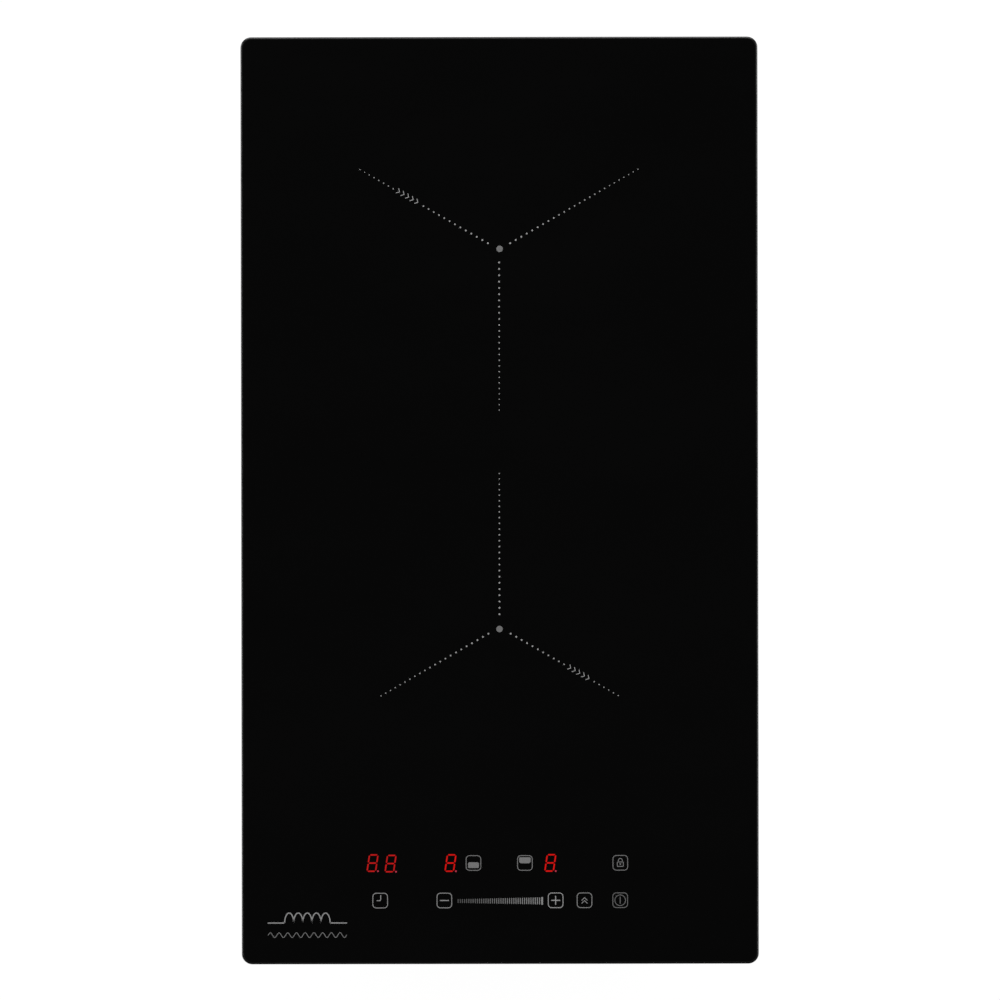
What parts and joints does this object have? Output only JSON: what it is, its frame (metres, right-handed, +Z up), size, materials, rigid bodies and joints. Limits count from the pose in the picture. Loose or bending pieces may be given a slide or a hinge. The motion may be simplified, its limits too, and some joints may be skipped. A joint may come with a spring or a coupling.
{
  "type": "electric induction cooktop",
  "caption": "Narrow built-in induction cooktop: black bevelled glass over a steel tray, with coils, blower, boards, touch controls, worktop brackets and a hinged terminal cover.",
  "frame": {"origin": "middle of the whole part in plan, at the underside of the base tray", "axes": "+X to the cook's right, +Y to the rear, away from the touch controls, +Z up"},
  "size_m": [0.29, 0.52, 0.056],
  "materials": {
    "black_glass": "polished",
    "foam": "matt",
    "silicone": "satin",
    "rail_steel": "satin",
    "galvanised_sheet": "spangled",
    "zinc_screws": "plated",
    "bracket_steel": "plated",
    "brass": "satin",
    "black_plastic": "matt",
    "dark_plastic": "matt",
    "ivory_plastic": "satin",
    "white_plastic": "satin",
    "black_rubber": "matt",
    "copper_windings": "enamelled",
    "bright_steel": "ground",
    "circuit_board": "solder resist",
    "aluminium": "mill",
    "epoxy": "moulded",
    "yellow_film": "satin",
    "capacitor_sleeve": "shrunk sleeve",
    "mica": "flaky",
    "ferrite": "sintered",
    "sensor_silicone": "satin",
    "spring_steel": "drawn",
    "display_plastic": "tinted",
    "yellow_sleeve": "braided",
    "white_wire": "extruded",
    "brown_wire": "extruded",
    "grey_ribbon": "extruded",
    "transformer_tape": "tape"
  },
  "bodies": {
    "body": {"glass_panel": "black_glass", "edge_seal": "foam", "silicone_beads": "silicone", "left_rail": "rail_steel", "right_rail": "rail_steel", "front_rail": "rail_steel", "rear_rail": "rail_steel", "base_tray": "galvanised_sheet", "side_screws": "zinc_screws", "bracket_screws": "zinc_screws", "bracket_nuts": "brass", "terminal_box": "black_plastic", "terminal_block": "ivory_plastic", "terminal_screws": "brass", "cable_grommet": "black_rubber", "blower_housing": "dark_plastic", "blower_cover": "dark_plastic", "motor_stator": "copper_windings", "power_board": "circuit_board", "heat_sink": "aluminium", "power_transistors": "epoxy", "rectifier_bridge": "epoxy", "film_capacitors": "yellow_film", "electrolytic_capacitors": "capacitor_sleeve", "chokes": "copper_windings", "transformer": "transformer_tape", "board_connectors": "white_plastic", "filter_board": "circuit_board", "filter_choke": "copper_windings", "relay": "white_plastic", "mains_fuse": "bright_steel", "board_standoffs": "brass", "inner_screws": "zinc_screws", "coil_plate": "aluminium", "rear_mica_disc": "mica", "rear_winding": "copper_windings", "rear_coil_carrier": "dark_plastic", "rear_ferrites": "ferrite", "rear_sensor": "sensor_silicone", "front_mica_disc": "mica", "front_winding": "copper_windings", "front_coil_carrier": "dark_plastic", "front_ferrites": "ferrite", "front_sensor": "sensor_silicone", "support_springs": "spring_steel", "control_holder": "black_plastic", "control_board": "circuit_board", "display_modules": "display_plastic", "touch_springs": "spring_steel", "coil_leads": "yellow_sleeve", "sensor_leads": "white_wire", "mains_wires": "brown_wire", "ribbon_cable": "grey_ribbon"},
    "front_left_bracket": {"front_left_bracket": "bracket_steel"},
    "front_right_bracket": {"front_right_bracket": "bracket_steel"},
    "rear_left_bracket": {"rear_left_bracket": "bracket_steel"},
    "rear_right_bracket": {"rear_right_bracket": "bracket_steel"},
    "terminal_cover": {"terminal_cover": "black_plastic"},
    "fan": {"impeller": "white_plastic", "motor_shaft": "bright_steel"}
  },
  "joints": [
    {"name": "front_left_bracket_slide", "type": "slide", "parent": "body", "child": "front_left_bracket", "axis": [0, 0, 1], "range_m": [0, 0.014]},
    {"name": "front_right_bracket_slide", "type": "slide", "parent": "body", "child": "front_right_bracket", "axis": [0, 0, 1], "range_m": [0, 0.014]},
    {"name": "rear_left_bracket_slide", "type": "slide", "parent": "body", "child": "rear_left_bracket", "axis": [0, 0, 1], "range_m": [0, 0.014]},
    {"name": "rear_right_bracket_slide", "type": "slide", "parent": "body", "child": "rear_right_bracket", "axis": [0, 0, 1], "range_m": [0, 0.014]},
    {"name": "terminal_cover_hinge", "type": "hinge", "parent": "body", "child": "terminal_cover", "pos_m": [0.06, 0.244, 0.0075], "axis": [-1, 0, 0], "range_deg": [0, 90]},
    {"name": "fan_spin", "type": "hinge", "parent": "body", "child": "fan", "pos_m": [-0.0615, 0.1715, 0.012], "axis": [0, 0, 1], "continuous": true}
  ]
}
